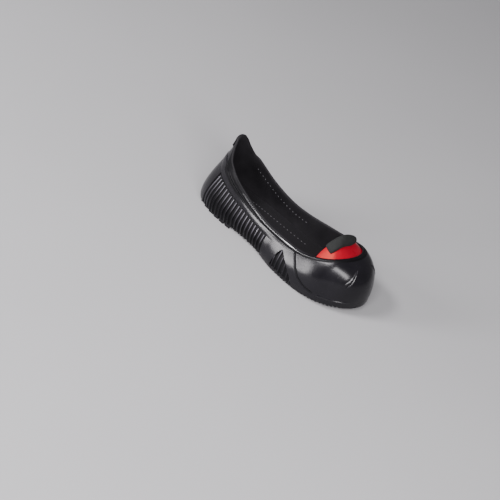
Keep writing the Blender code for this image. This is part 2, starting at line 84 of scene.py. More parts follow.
# Ribbed side panels and fin patch, by the run along the sole's edge and the level up the wall
PANEL_START = 38.0
PANEL_END = 166.0
PANEL_RIBS = 19
LEAN_LEVEL = 0.71
RIB_CREST = -0.25
RIB_GROOVE = -2.1
RIB_SHARPNESS = 3.6
RIB_ENDS = (0.040, 0.012)
RIB_BULGE = {"height": 0.9, "rise": (0.0, 0.22), "fall": (0.26, 0.70)}
# Painted highlight on the rib crests: faint low on the wall, full higher up
RIB_PAINTED_HIGHLIGHT = {"level": (0.28, 0.68), "least": 0.15}
LEANS = {"run": (0, PANEL_START, PANEL_END, 203, 245), "lean": (0, 12, -3, -8, 0)}
STEP_RUN = 1.5
STEP_LEVEL = 0.018
FIN_OUTLINE = {"run": (192, 194, 196, 199, 202, 207, 214, 223, 232),
               "level": (0.06, 0.34, 0.50, 0.66, 0.75, 0.64, 0.50, 0.30, 0.06)}
FIN_RIBS = 6
# Painted highlight on the fin's crests, and painted shade in the grooves of panel and fin
FIN_PAINTED_HIGHLIGHT = 0.85
GROOVE_SHADE = 0.35
GROOVE_LIMIT = 0.55
FIN_FOOT = (3.0, 4.0)
FIN_BORDER = 0.02

# Collar by run: a cuff band between two levels, and a bead at the rim that overhangs the wall below it.
# The strip under the bead, wide over the cuff, takes a darker matt copy of the rubber as painted shade, and
# a line on the bead takes a glossier, lighter copy as painted highlight.
BAND = {"run":    (0, 12, 24, 38, 60, 100, 150, 166),
        "low":    (0.655, 0.660, 0.675, 0.700, 0.705, 0.700, 0.705, 0.715),
        "high":   (0.735, 0.745, 0.820, 0.885, 0.892, 0.890, 0.888, 0.888)}
BAND_HEIGHTS = {"run": (0, 20, 40, 90, 125, 160, 185), "height": (0.8, 0.9, 1.6, 2.1, 0.6, 0.45, 0.0)}
BAND_TILT = {"run": (0, 20, 40, 90, 125), "share": (0.3, 0.3, 1.0, 1.0, 0.0)}
BEAD = {"level": (0.820, 0.890, 0.950, 0.960, 1.0), "relief": (0.0, 0.25, 0.90, 0.95, 0.0),
        "start": (48, 84)}
PAINTED_SHADE_STRIP = {"run": (22, 40, 75, 100, 130, 155, 180),
            "low": (1.0, 0.80, 0.80, 0.820, 0.838, 0.868, 0.892), "high": 0.948}
BEAD_HIGHLIGHT = {"run": (97, 262), "level": (0.956, 0.982)}
THROAT_RELIEFS = {"run": (235, 268), "share": (1.0, 0.35)}
RIM_ROUND = 1.4
RIM_ROWS = 7

# Lines moulded in the wall, as runs and levels: the seam before the toe, and arcs on the toe
SEAM = {"run": (223, 226, 229, 231, 235, 240, 247, 255, 262),
        "level": (0.875, 0.75, 0.62, 0.50, 0.38, 0.28, 0.20, 0.155, 0.130)}
SEAM_HALF = 0.90
SEAM_DEPTH = 0.95
# Painted shade along the seam: a darker colour, and the darker matt copy of the rubber on its faces
SEAM_SHADE = -0.5
SEAM_PAINTED_SHADE_REACH = 2.6
TOE_WELT = {"run": (269, 279, 291, 303, 312), "level": (0.120, 0.117, 0.110, 0.102, 0.096)}
TOE_WELT_HALF = 0.8
TOE_WELT_HEIGHT = 1.0
TOE_ARCS = (
    {"run": (304, 310, 313.5, 317, 319.5, 321.5), "level": (0.344, 0.405, 0.462, 0.542, 0.619, 0.676)},
    {"run": (303, 309, 313, 316, 318.5), "level": (0.421, 0.468, 0.535, 0.589, 0.645)},
)
TOE_ARC_HALF = 0.55
TOE_ARC_HEIGHT = 0.65
# Painted highlight along the toe arcs: a lighter line
TOE_ARC_PAINTED_HIGHLIGHT = 0.12
LINE_POINTS = 220
LINE_REACH = 3

# Soft ridges and troughs of the rubber wall, placed one by one: run, level, half run, half level and height
CREASES = (
    (176, 0.36, 5, 0.20, -0.45),
    (238, 0.60, 10, 0.30, -0.15),
    (258, 0.62, 9, 0.34, 0.20),
    (284, 0.30, 14, 0.14, -0.30),
    (18, 0.40, 9, 0.25, 0.30),
)

# Its slow waves: height, length along the run, climb with the level, and shift
RUBBER_WAVES = ((0.10, 13.0, 5, 0.0), (0.07, 7.3, -9, 1.1))

# Mesh steps of the wall: the end and step of each stretch of runs, and rows for stretches of levels
RUN_STEPS = ((36.5, 1.0), (167.5, 0.60), (191.0, 1.5), (233.0, 0.66), (263.0, 0.62), (299.0, 1.0),
             (327.0, 0.70), (None, 1.1))
LOW_ROWS = 42
LEVEL_STEPS = ((0.62, 0.78, 16), (0.78, 0.86, 8), (0.86, 0.94, 9), (0.94, 1.0, 10))
INNER_ROWS = 12
SIDE_ROWS = 14
LEVEL_SEARCH = {"top": 0.6, "rounds": 40}
SHARP_ANGLES = {"rubber_upper": 40.0, "rubber_outsole": 32.0, "sock_insole": 40.0, "coated_toe_cap": 60.0,
                "foam_cap_pad": 70.0, "lining_stitches": 80.0}

# Underside: base, toe lip, tread blocks, arch ribs and the dashes between them
EDGE_POINTS = 720
EDGE_BAND = 2.5
EDGE_ROUND = ((0.7, -0.25), (2.2, 0.0), (3.0, 1.2))
UNDER_ACROSS = 26
NOTCHES = {"start": 192, "end": 306, "fade": 6, "pitch": 5.3, "edge": (0.45, 0.8),
           "height": 2.8, "full": 0.5, "depth": 1.5}
TREAD_FIELDS = {
    "heel":     {"rear": -128, "front": -62, "rows": 6},
    "forefoot": {"rear": 4, "front": 120, "rows": 12},
}
TREAD_GROOVE = 2.6
BLOCK_WIDTH = 11.8
BLOCK_WAVE = 1.1
BLOCK_ROUND = 0.5
SIPE = {"half": 0.55, "depth": 1.3}
TREAD_MARGIN = 2.5
TREAD_DEPTH = 2.4
SOLE_RECESS = 1.2
ROOT = 1.0
TOE_LIP = 13.0
TOE_LIP_START = 78.0
LIP = {"inner": 11.0, "outer": 3.5, "soft": 1.4, "height": 1.1}
ARCH = {"rear": -54, "front": -3, "ribs": 8, "depth": 2.0}
DASHES = {"x": 0.8, "half": 0.7, "count": 9, "fill": 0.55, "depth": 1.9}

# Insole: share of its thickness and inset from the wall, for each ring of its rounded edge
INSOLE_EDGE = ((0.0, GAP), (0.6, GAP), (0.85, 2 * GAP), (1.0, 1.2))

# Toe cap and pad
CAP_REAR_RUN = 252.5
CAP_BOW = 29.0
CAP_BOW_SKEW = 1.5
CROWN_FULLNESS = 0.54
CROWN_LIFT = 0.35
CROWN_LIFT_FADE = 0.25
CAP_RUNS = 70
CAP_SHARES = 64
CAP_SIDE_ROWS = 14
CAP_TIP_GAP = 0.2
CAP_EDGE_ROUND = 0.5
PAD_DEPTH = 43.0
PAD_END_DEPTHS = (21.0, 19.0)
PAD_SKEW = 0.85
PAD_OVERHANG = 2.0
PAD_REAR_SPAN = (0.155, 0.90)
PAD_FRONT_SPAN = (0.085, 0.90)
PAD_ACROSS = 90
PAD_ALONG = 30
PAD_EDGE_THICKNESS = 0.9
PAD_EDGE_ROUND = 0.4
PAD_SWELL = {"along": 0.4, "across": 0.5, "steepness": 4}
PAD_LUMPS = {"height": 0.2, "waves": ((9, 4, 0), (14, -3, 1))}
TINY = 1e-6

# Stitches of the lining: one row on the wall below the collar and one on the insole
STITCH_SIZE = (2.0, 1.0, 0.8)
STITCH_RINGS = 7
STITCH_SIDES = 8
STITCH_TIP = 0.12
STITCH_STAND = 0.1
WALL_STITCHES = {"runs": (58, 174), "pitch": 6.6, "below_rim": 14.5, "span": 0.3}
SOLE_STITCHES = {"runs": (88, 189), "pitch": 6.0, "inset": 18.5}

# Camera, fitted to the photograph's outline; the target is the point that the two pixel offsets place
CAMERA = {"azimuth": 30.6, "elevation": 32.7, "roll": 21.7, "distance": 1890.0, "pixels_per_mm": 0.7546}
CAMERA_TARGET = (0.0, 0.0, 35.0)
TARGET_PIXELS = (38.0, 22.1)
IMAGE_PIXELS = 500
SENSOR = 36.0
CAMERA_CLIP = (0.05, 50.0)

# Soft lights: azimuth, elevation and roll in degrees, distance and size in metres, and power in watts
LIGHTS = {
    "side_box": (-35, 13, 29, 2.4, (0.60, 1.45), 80),
    "toe_box":  (38, 36, -27, 2.2, (2.1, 0.50), 80),
    "rim_box":  (-38, 48, 0, 2.2, (0.75, 0.40), 36),
}
LIGHT_COLOUR = (1.0, 0.975, 1.0)
WORLD_GREY = (0.25, 0.245, 0.258)
FLOOR_HALF = 6.0

# Colours: painted highlight of the rib crests, painted shade of the grooves between them, and the dark and
# light tone of each material
CREST_PAINTED_HIGHLIGHT = (0.190, 0.183, 0.205)
PAINTED_SHADE_BLACK = (0.0020, 0.0020, 0.0024)
TONES = {
    "upper_rubber":  ((0.0040, 0.0037, 0.0050), (0.0065, 0.0060, 0.0078)),
    "sole_rubber":   ((0.0040, 0.0037, 0.0050), (0.0070, 0.0065, 0.0082)),
    # The bead copy is lighter and the groove copy darker than the rubber: painted highlight and painted
    # shade
    "bead_highlight_rubber":   ((0.0045, 0.0042, 0.0055), (0.0075, 0.0070, 0.0088)),
    "painted_shade_rubber": (PAINTED_SHADE_BLACK, (0.0042, 0.0040, 0.0050)),
    "inner_rubber":  ((0.0085, 0.0079, 0.0092), (0.0140, 0.0131, 0.0150)),
    "sock_cloth":    ((0.0075, 0.0070, 0.0081), (0.0170, 0.0160, 0.0182)),
    "red_coat":      ((0.215, 0.0008, 0.009), (0.275, 0.0014, 0.013)),
    "dark_foam":     ((0.0070, 0.0076, 0.0073), (0.0135, 0.0147, 0.0141)),
    "lining_thread": ((0.060, 0.058, 0.063), (0.112, 0.109, 0.118)),
    "pale_floor":    ((0.375, 0.375, 0.38), (0.39, 0.39, 0.395)),
}
CLOUD_SHADE = 0.3
# Scale of the crest attribute's painted highlight and shade in the colour, and of its roughness
CREST_SHADE = 0.9
CREST_ROUGHNESS = 0.08
SCUFF_STRETCH = (60.0, 420.0, 300.0)
COAT_TINT = (1.0, 0.20, 0.09, 1.0)


def smooth_step(start, end, value):
    share = np.clip((value - start) / (end - start), 0.0, 1.0)
    return share * share * (3 - 2 * share)


def bell(distance, half):
    return np.exp(-(distance / half) ** 2)


def unit(vectors):
    return vectors / np.linalg.norm(vectors, axis=-1, keepdims=True)


def by_run(table, key, run):
    """A table's value at each run, between its rows."""
    return np.interp(run, table["run"], table[key])


def nearest(points, line):
    """Distance of points from the nearest point of a line."""
    spans = points[:, None, :] - line[None, :, :]
    return np.sqrt((spans ** 2).sum(-1)).min(1)


def bezier(start, one, two, end, share):
    """Points of curves from start to end with two handles, at shares of the way."""
    done = share[..., None]
    left = 1 - done
    return left ** 3 * start + 3 * left ** 2 * done * one + 3 * left * done ** 2 * two + done ** 3 * end


class PeriodicSpline:
    """A smooth closed curve through values at rising knots."""

    def __init__(self, knots, period, values):
        count = len(knots)
        steps = np.diff(np.append(knots, period))
        matrix = np.zeros((count, count))
        right = np.zeros_like(values)
        for i in range(count):
            before, after = steps[i - 1], steps[i]
            following = (i + 1) % count
            matrix[i, i - 1] += before / 6
            matrix[i, i] += (before + after) / 3
            matrix[i, following] += after / 6
            right[i] = (values[following] - values[i]) / after - (values[i] - values[i - 1]) / before
        self.knots, self.period, self.values, self.steps = knots, period, values, steps
        self.bends = np.linalg.solve(matrix, right)

    def at(self, place):
        place = np.mod(place, self.period)
        i = np.clip(np.searchsorted(self.knots, place, side="right") - 1, 0, len(self.knots) - 1)
        j = (i + 1) % len(self.knots)
        step = self.steps[i][..., None]
        done = (place - self.knots[i])[..., None]
        left = step - done
        curve = (self.bends[i] * left ** 3 + self.bends[j] * done ** 3) / (6 * step)
        line_i = (self.values[i] / step - self.bends[i] * step / 6) * left
        line_j = (self.values[j] / step - self.bends[j] * step / 6) * done
        return curve + line_i + line_j


LAST = dict(zip(LAST_COLUMNS, np.array(list(LAST_ROWS.values()), float).T))


class Wall:
    """The shoe's outside: at each place round the sole's edge, a curve up to the collar."""

    def __init__(self):
        def side(order, edge_y, collar_y, rise):
            columns = (LAST["along"] - LENGTH / 2, edge_y, LAST["lift"],
                       LAST["collar_along"] - LENGTH / 2, collar_y, LAST["collar_height"] + rise,
                       LAST["low_out"], LAST["low_up"], LAST["high_out"], LAST["high_up"])
            return np.column_stack(columns)[order]

        last = len(LAST_ROWS) - 1
        forward = side(slice(None), LAST["lateral"], LAST["collar_lateral"], 0)
        back = side(slice(last - 1, 0, -1), LAST["medial"], LAST["collar_medial"], LAST["medial_rise"])
        loop = np.vstack([forward, back])
        spans = np.linalg.norm(np.diff(np.vstack([loop, loop[:1]])[:, :2], axis=0), axis=1)
        knots = np.concatenate([[0], np.cumsum(spans)[:-1]])
        self.period = spans.sum()
        self.reach = knots[last]
        self.spline = PeriodicSpline(knots, self.period, loop)

    def place(self, run, lateral):
        """The place round the loop of a run from the heel's back, on either side."""
        scale = (self.period - self.reach) / self.reach
        return np.where(lateral, run, self.period - np.asarray(run, float) * scale)

    def out(self, place):
        """Level direction away from the shoe, square to the sole's edge."""
        nudge = 0.01
        ahead = unit(self.spline.at(place + nudge)[..., :2] - self.spline.at(place - nudge)[..., :2])
        return np.stack([ahead[..., 1], -ahead[..., 0], np.zeros_like(place)], axis=-1)

    def point(self, place, level):
        """Points of the wall, from 0 at the sole's edge to 1 at the collar."""
        place, level = np.broadcast_arrays(np.asarray(place, float), np.asarray(level, float))
        values = self.spline.at(place)
        from_heel = np.mod(place, self.period)
        from_heel = np.minimum(from_heel, self.period - from_heel)
        edge, collar = values[..., 0:3], values[..., 3:6].copy()
        collar[..., 2] += TAB_RISE * np.exp(-(from_heel / TAB_HALF) ** TAB_POWER)
        collar[..., 2] -= TAB_DIP["depth"] * bell(from_heel - TAB_DIP["run"], TAB_DIP["half"])
        out, up = self.out(place), np.array([0.0, 0.0, 1.0])
        low_out, low_up, high_out, high_up = np.split(values[..., 6:], 4, axis=-1)
        low = edge + out * low_out + up * low_up
        high = collar + out * high_out + up * high_up
        return bezier(edge, low, high, collar, level)

    def rise_direction(self, place, level):
        nudge = 0.004
        return unit(self.point(place, level + nudge) - self.point(place, level - nudge))

    def normal(self, place, level):
        nudge = 0.4
        ahead = self.point(place + nudge, level) - self.point(place - nudge, level)
        return unit(np.cross(ahead, self.rise_direction(place, level)))

    def offset(self, place, level, relief):
        """Points that stand off the wall by a relief."""
        place, level, relief = np.broadcast_arrays(place, level, relief)
        return self.point(place, level) + self.normal(place, level) * relief[..., None]

    def level_at_height(self, place, height):
        """The level where the wall is this high, in its lower half."""
        low, high = np.zeros_like(place), np.full_like(place, LEVEL_SEARCH["top"])
        for _ in range(LEVEL_SEARCH["rounds"]):
            middle = (low + high) / 2
            below = self.point(place, middle)[..., 2] < height
            low, high = np.where(below, middle, low), np.where(below, high, middle)
        return (low + high) / 2

    def parting_height(self, place):
        return self.point(place, 0.0)[..., 2] + SIDE_HEIGHT


SHAPE = Wall()


def side_runs():
    """Runs of the mesh columns from heel to toe tip."""
    runs, start = [], 0.0
    for end, step in RUN_STEPS:
        end = end or SHAPE.reach
        count = max(1, round((end - start) / step))
        runs.append(np.linspace(start, end, count, endpoint=False))
        start = end
    return np.append(np.concatenate(runs), SHAPE.reach)


SIDE_RUNS = side_runs()
RUN = np.concatenate([SIDE_RUNS, SIDE_RUNS[-2:0:-1]])
LATERAL = np.arange(len(RUN)) < len(SIDE_RUNS)
PLACE = SHAPE.place(RUN, LATERAL)

# The parting line of shell and sole in each column, and the sole's edge as a closed row of points
PARTING = SHAPE.parting_height(PLACE)
PARTING_LEVEL = SHAPE.level_at_height(PLACE, PARTING)
SOLE_EDGE = SHAPE.point(np.linspace(0, SHAPE.period, EDGE_POINTS, endpoint=False), 0.0)


def lean(run, level):
    """How far forward a column stands at a level, so that ribs lean as moulded."""
    return by_run(LEANS, "lean", run) * (LEAN_LEVEL - level)


def leaned(run, level, lateral):
    return SHAPE.place(run + lean(run, level), lateral)


def rib_profile(phase):
    """Height of a rib over one pitch: 0 in the groove, 1 on its narrow rounded crest."""
    return (0.5 - 0.5 * np.cos(2 * np.pi * phase)) ** RIB_SHARPNESS


def rib_relief(run, level, height):
    """Relief of the ribbed panel and fin patch, their painted light (highlight above 0 on crests, shade
    below 0 in grooves) and the share of groove.
    """
    panel = rib_profile((run - PANEL_START) * PANEL_RIBS / (PANEL_END - PANEL_START))
    panel_top = by_run(BAND, "low", run)
    in_panel = smooth_step(PANEL_START - STEP_RUN, PANEL_START, run)
    in_panel *= 1 - smooth_step(PANEL_END, PANEL_END + STEP_RUN, run)
    in_panel *= 1 - smooth_step(panel_top - STEP_LEVEL / 2, panel_top + STEP_LEVEL / 2, level)
    rear, front = FIN_OUTLINE["run"][0], FIN_OUTLINE["run"][-1]
    fin = rib_profile((run - rear) * FIN_RIBS / (front - rear))
    top = by_run(FIN_OUTLINE, "level", run)
    in_fin = (1 - smooth_step(top - 2 * STEP_LEVEL, top, level)) * smooth_step(*FIN_FOOT, height)
    in_fin *= (run > rear) & (run < front)
    bulge = smooth_step(*RIB_BULGE["rise"], level) * (1 - smooth_step(*RIB_BULGE["fall"], level))
    crest = RIB_CREST + RIB_BULGE["height"] * bulge
    panel *= 1 - smooth_step(panel_top - RIB_ENDS[0], panel_top - RIB_ENDS[1], level)
    depth = in_panel * (RIB_GROOVE + (crest - RIB_GROOVE) * panel)
    depth += in_fin * (RIB_GROOVE + (RIB_CREST - RIB_GROOVE) * fin)
    # Painted highlight on the crests and painted shade in the grooves, fading lower down the wall
    painted_light = RIB_PAINTED_HIGHLIGHT["least"] + (1 - RIB_PAINTED_HIGHLIGHT["least"]) * smooth_step(*RIB_PAINTED_HIGHLIGHT["level"], level)
    painted_ribs = (in_panel * (panel - GROOVE_SHADE) + in_fin * (FIN_PAINTED_HIGHLIGHT * fin - GROOVE_SHADE)) * painted_light
    return depth, painted_ribs, in_panel * (1 - panel) + (in_fin > FIN_BORDER) * (1 - in_fin * fin)


def collar_relief(run, level):
    """Cuff band, bead and heel tab."""
    low, high = [by_run(BAND, edge, run) for edge in ("low", "high")]
    throat = by_run(THROAT_RELIEFS, "share", run)
    tilt = by_run(BAND_TILT, "share", run)
    across = np.clip((level - low) / (high - low), 0, 1)
    band = 1 - tilt * (1 - across) - (1 - tilt) * (2 * across - 1) ** 2
    band *= smooth_step(low, low + STEP_LEVEL, level)
    band *= 1 - smooth_step(high - STEP_LEVEL, high, level)
    band *= by_run(BAND_HEIGHTS, "height", run)
    tab = TAB_STEP * (1 - smooth_step(TAB_STEP_HALF, TAB_STEP_HALF + STEP_RUN, run))
    tab *= smooth_step(TAB_LEVEL, TAB_LEVEL + STEP_LEVEL, level)
    bead = np.interp(level, BEAD["level"], BEAD["relief"]) * throat * smooth_step(*BEAD["start"], run)
    return band + bead + tab


def curve_points(line, lateral):
    """Points of a moulded line on the wall, from a smooth curve through its runs and levels."""
    at = np.linspace(0, len(line["run"]) - 1, LINE_POINTS)
    run, level = [eased(np.array(line[key], float), at) for key in ("run", "level")]
    return SHAPE.point(SHAPE.place(run, lateral), level)


def eased(values, at):
    """A smooth curve through values that are one step apart."""
    slopes = np.gradient(values)
    i = np.clip(at.astype(int), 0, len(values) - 2)
    share = at - i
    keep = 1 - share
    start = values[i] * (1 + 2 * share) * keep ** 2 + slopes[i] * share * keep ** 2
    end = values[i + 1] * (1 + 2 * keep) * share ** 2 - slopes[i + 1] * keep * share ** 2
    return start + end


def line_relief(points, line, height, half):
    """Relief of a moulded line at points of the wall, by their distance from it."""
    relief = np.zeros(points.shape[:-1])
    low, high = line.min(0) - LINE_REACH * half, line.max(0) + LINE_REACH * half
    near = np.all((points > low) & (points < high), axis=-1)
    if near.any():
        relief[near] = height * bell(nearest(points[near], line), half)
    return relief


def moulded_lines(points):
    """Relief of both sides' seam, toe welt and toe arcs, the painted highlight on the arcs and painted
    shade in the seam, and how far points are in the seam.
    """
    relief, seam, arcs = [np.zeros(points.shape[:-1]) for _ in range(3)]
    for lateral in (True, False):
        seam += line_relief(points, curve_points(SEAM, lateral), 1.0, SEAM_HALF)
        relief += line_relief(points, curve_points(TOE_WELT, lateral), TOE_WELT_HEIGHT, TOE_WELT_HALF)
        for arc in TOE_ARCS:
            arcs += line_relief(points, curve_points(arc, lateral), 1.0, TOE_ARC_HALF)
    relief += TOE_ARC_HEIGHT * arcs - SEAM_DEPTH * seam
    return relief, TOE_ARC_PAINTED_HIGHLIGHT * arcs + SEAM_SHADE * seam, seam


def crease_relief(run, level):
    """Soft ridges and troughs, and the slow unevenness of moulded rubber."""
    relief = np.zeros_like(level)
    for height, length, climb, shift in RUBBER_WAVES:
        relief += height * np.sin(run / length + climb * level + shift)
    for at_run, at_level, half_run, half_level, height in CREASES:
        along, up = (run - at_run) / half_run, (level - at_level) / half_level
        relief += height * np.exp(-along ** 2 - up ** 2)
    return relief


def add_object(name, data):
    added = bpy.data.objects.new(name, data)
    bpy.context.scene.collection.objects.link(added)
    return added


def add_piece(name, node, vertices, faces, materials, material_of_face=None):
    """A mesh piece in the frame, standing for a node of the part."""
    mesh = bpy.data.meshes.new(name)
    mesh.from_pydata((np.asarray(vertices) * MM).tolist(), [], faces)
    for material in materials:
        mesh.materials.append(material)
    if material_of_face is not None:
        mesh.polygons.foreach_set("material_index", material_of_face)
    mesh.shade_smooth()
    mesh.set_sharp_from_angle(angle=math.radians(SHARP_ANGLES[name]))
    piece = add_object(name, mesh)
    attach(piece, BODY)
    if node:
        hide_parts(node)
    return piece


def add_attribute(piece, name, values):
    layer = piece.data.attributes.new(name, "FLOAT", "POINT")
    layer.data.foreach_set("value", np.asarray(values, np.float32))


def grid_faces(rows, count, start=0, flip=False, ring=False, closed=False):
    """Quads of a grid of points: its rows can be rings, and where closed the last row joins the first."""
    k, i = np.arange(rows if closed else rows - 1), np.arange(count if ring else count - 1)
    k, i = np.meshgrid(k, i, indexing="ij")
    after, above = (i + 1) % count, (k + 1) % rows
    quads = np.stack([k * count + i, k * count + after, above * count + after, above * count + i], -1)
    quads = quads.reshape(-1, 4) + start
    return (quads[:, ::-1] if flip else quads).tolist()


def closed_stack(rings, under, above):
    """Vertices and faces of a stack of rings, with one grid of points to close it below and one above."""
    rows, count = rings.shape[:2]
    faces = grid_faces(rows, count, ring=True)
    faces += grid_faces(*under.shape[:2], start=rows * count)
    faces += grid_faces(*above.shape[:2], start=rows * count + under.size // 3, flip=True)
    return np.vstack([points.reshape(-1, 3) for points in (rings, under, above)]), faces


def outer_levels():
    """Levels of the shell's outer rows in each column: even low down, then closer at the collar."""
    fine_from = LEVEL_STEPS[0][0]
    shares = np.linspace(0, 1, LOW_ROWS)[:, None]
    low = PARTING_LEVEL + (fine_from - PARTING_LEVEL) * shares
    high = [np.linspace(one, two, count + 1)[1:] for one, two, count in LEVEL_STEPS]
    high = np.repeat(np.concatenate(high)[:, None], len(RUN), axis=1)
    return np.vstack([low, high])


def wall_reliefs(level):
    """Whole relief of the outer wall at each column's levels, with its painted highlight and shade, groove
    share and places.
    """
    run = np.broadcast_to(RUN, level.shape)
    place = leaned(run, level, LATERAL)
    points = SHAPE.point(place, level)
    height = points[..., 2] - SHAPE.point(place, 0.0)[..., 2]
    ribs, crest, grooves = rib_relief(run, level, height)
    relief = ribs + collar_relief(run, level) + crease_relief(run + lean(run, level), level)
    lines, painted_marks, seam = moulded_lines(points)
    return relief + lines, crest + painted_marks, np.maximum(grooves, SEAM_PAINTED_SHADE_REACH * seam), place, height


def groove_faces(grooves):
    """For each face between the rows of a closed ring stack, whether it lies in a groove."""
    ahead = np.roll(grooves, -1, axis=1)
    return (grooves[:-1] + ahead[:-1] + grooves[1:] + ahead[1:]) / 4 > GROOVE_LIMIT


def rim_rings(relief):
    """Rings of the round rim, from the outer wall's top over to the inside."""
    place = leaned(RUN, 1.0, LATERAL)
    rise = SHAPE.rise_direction(place, np.ones_like(place))
    middle, half = (relief - WALL) / 2, (relief + WALL) / 2
    rings = []
    for turn in np.linspace(0, np.pi, RIM_ROWS + 2)[1:-1]:
        ring = SHAPE.offset(place, 1.0, middle + half * np.cos(turn))
        rings.append(ring + rise * RIM_ROUND * np.sin(turn))
    return np.array(rings)


def inner_rings():
    """Rings of the plain inside, from the rim down to the parting line."""
    level = PARTING_LEVEL + (1 - PARTING_LEVEL) * np.linspace(1, 0, INNER_ROWS)[:, None]
    rings = SHAPE.offset(leaned(RUN, level, LATERAL), level, -WALL)
    rings[-1, :, 2] = PARTING
    return rings


def upper_materials(level, grooves, rows):
    """For each face of the shell, which it has: rubber, lining, a darker matt copy of the rubber as painted
    shade, or a glossier, lighter copy as painted highlight on the bead.
    """
    rubber, lining, groove, bead_highlight = range(4)
    outer = len(level)
    faces = np.full((rows, level.shape[1]), rubber, np.int32)
    faces[outer:] = lining
    faces[:outer - 1][groove_faces(grooves)] = groove
    start, end = BEAD_HIGHLIGHT["run"]
    low, high = BEAD_HIGHLIGHT["level"]
    # Painted shade: the darker matt copy on the strip under the bead, over the cuff near the heel, and on
    # the rim
    shaded_strip = level > by_run(PAINTED_SHADE_STRIP, "low", RUN)
    shaded_strip = shaded_strip & ((level < PAINTED_SHADE_STRIP["high"]) | (RUN < start))
    faces[:outer][shaded_strip | (level > low)] = groove
    # Painted highlight: the glossier, lighter copy of the rubber along a line on the bead
    on_bead = (level > low) & (level < high) & (RUN > start) & (RUN < end)
    faces[:outer][on_bead] = bead_highlight
    return faces.ravel()


def make_upper(rubber, lining, groove, bead_highlight):
    """The shell: outside with its ribs, cuff, bead and lines, round rim, and plain inside."""
    level = outer_levels()
    relief, crest, grooves, place, _ = wall_reliefs(level)
    outer = SHAPE.offset(place, level, relief)
    outer[0, :, 2] = PARTING
    rings = np.concatenate([outer, rim_rings(relief[-1]), inner_rings()])
    rows, count = rings.shape[:2]
    faces = grid_faces(rows, count, ring=True, closed=True)
    piece = add_piece("rubber_upper", "upper", rings.reshape(-1, 3), faces,
                      (rubber, lining, groove, bead_highlight), upper_materials(level, grooves, rows))
    # The crest attribute: painted highlight on crests and arcs, painted shade in grooves and the seam
    painted_light = np.zeros((rows, count))
    painted_light[:len(outer)] = crest
    add_attribute(piece, "crest", painted_light.ravel())


def ladder(ring, across):
    """Points in rows across a closed ring, from each lateral point to its medial partner, ends included."""
    half = len(SIDE_RUNS)
    left, right = ring[:half], np.vstack([ring[:1], ring[half:][::-1], ring[half - 1:half]])
    shares = np.linspace(0, 1, across + 1)[None, :, None]
    return left[:, None, :] * (1 - shares) + right[:, None, :] * shares


def notch_relief(run, height):
    """Ends of the tread's grooves in the sole's lower edge."""
    start, end, fade = NOTCHES["start"], NOTCHES["end"], NOTCHES["fade"]
    inside = smooth_step(start, start + fade, run) * (1 - smooth_step(end - fade, end, run))
    wave = 0.5 - 0.5 * np.cos(2 * np.pi * run / NOTCHES["pitch"])
    low = 1 - smooth_step(NOTCHES["full"] * NOTCHES["height"], NOTCHES["height"], height)
    return -NOTCHES["depth"] * inside * low * smooth_step(*NOTCHES["edge"], wave)


def sole_base():
    """Side of the sole, its rounded lower edge, and the underside with the toe's lip."""
    level = PARTING_LEVEL * np.linspace(1, 0, SIDE_ROWS)[:, None]
    relief, crest, grooves, place, height = wall_reliefs(level)
    relief += notch_relief(RUN + lean(RUN, level), height)
    side = SHAPE.offset(place, level, relief)
    side[0, :, 2] = PARTING
    out = SHAPE.out(PLACE)
    top = side[:1] - out * WALL
    turns = [side[-1] - out * inset + np.array([0, 0, rise]) for inset, rise in EDGE_ROUND]
    rings = np.concatenate([top, side, np.array(turns)])
    under = ladder(rings[-1], UNDER_ACROSS)
    distance = np.array([nearest(row, SOLE_EDGE[:, :2]) for row in under[..., :2]])
    lip = smooth_step(LIP["inner"] + LIP["soft"], LIP["inner"], distance)
    lip *= smooth_step(LIP["outer"], LIP["outer"] + LIP["soft"], distance)
    lip *= smooth_step(TOE_LIP_START, TOE_LIP_START + TOE_LIP, under[..., 0])
    under[..., 2] -= LIP["height"] * lip
    vertices, faces = closed_stack(rings, under, ladder(rings[0], 2))
    count = len(RUN)
    # The crest attribute on the sole's side: painted highlight on crests, painted shade in grooves
    crests = np.zeros(len(vertices))
    crests[count:count + crest.size] = crest.ravel()
    in_grooves = np.zeros(len(faces), np.int32)
    in_grooves[count:count * SIDE_ROWS] = groove_faces(grooves).ravel()
    return vertices, faces, crests, in_grooves


def lift_at(x):
    """Height of the sole's lower edge at x."""
    return float(np.interp(x, LAST["along"] - LENGTH / 2, LAST["lift"]))


def width_at(x, margin):
    """Lateral and medial limits of the tread at x, a margin inside the sole's edge."""
    band = SOLE_EDGE[np.abs(SOLE_EDGE[:, 0] - x) < EDGE_BAND]
    return band[:, 1].min() + margin, band[:, 1].max() - margin


def tread_floor(x):
    """Height of the tread's face: flat on the ground, then up with the toe spring."""
    return max(0.0, lift_at(x) - TREAD_DEPTH) if x > 0 else 0.0


def row_limits(rear, front):
    """Where a row of blocks starts and ends, inside the edge and behind the toe's smooth lip."""
    limits = []
    for x in (rear, front):
        margin = TREAD_MARGIN
        if x > TOE_LIP_START:
            blend = (x - TOE_LIP_START) / (LENGTH / 2 - TOE_LIP_START)
            margin += (TOE_LIP - TREAD_MARGIN) * blend
            x = x + TOE_LIP * blend
        limits.append(width_at(x, margin))
    return max(limit[0] for limit in limits), min(limit[1] for limit in limits)


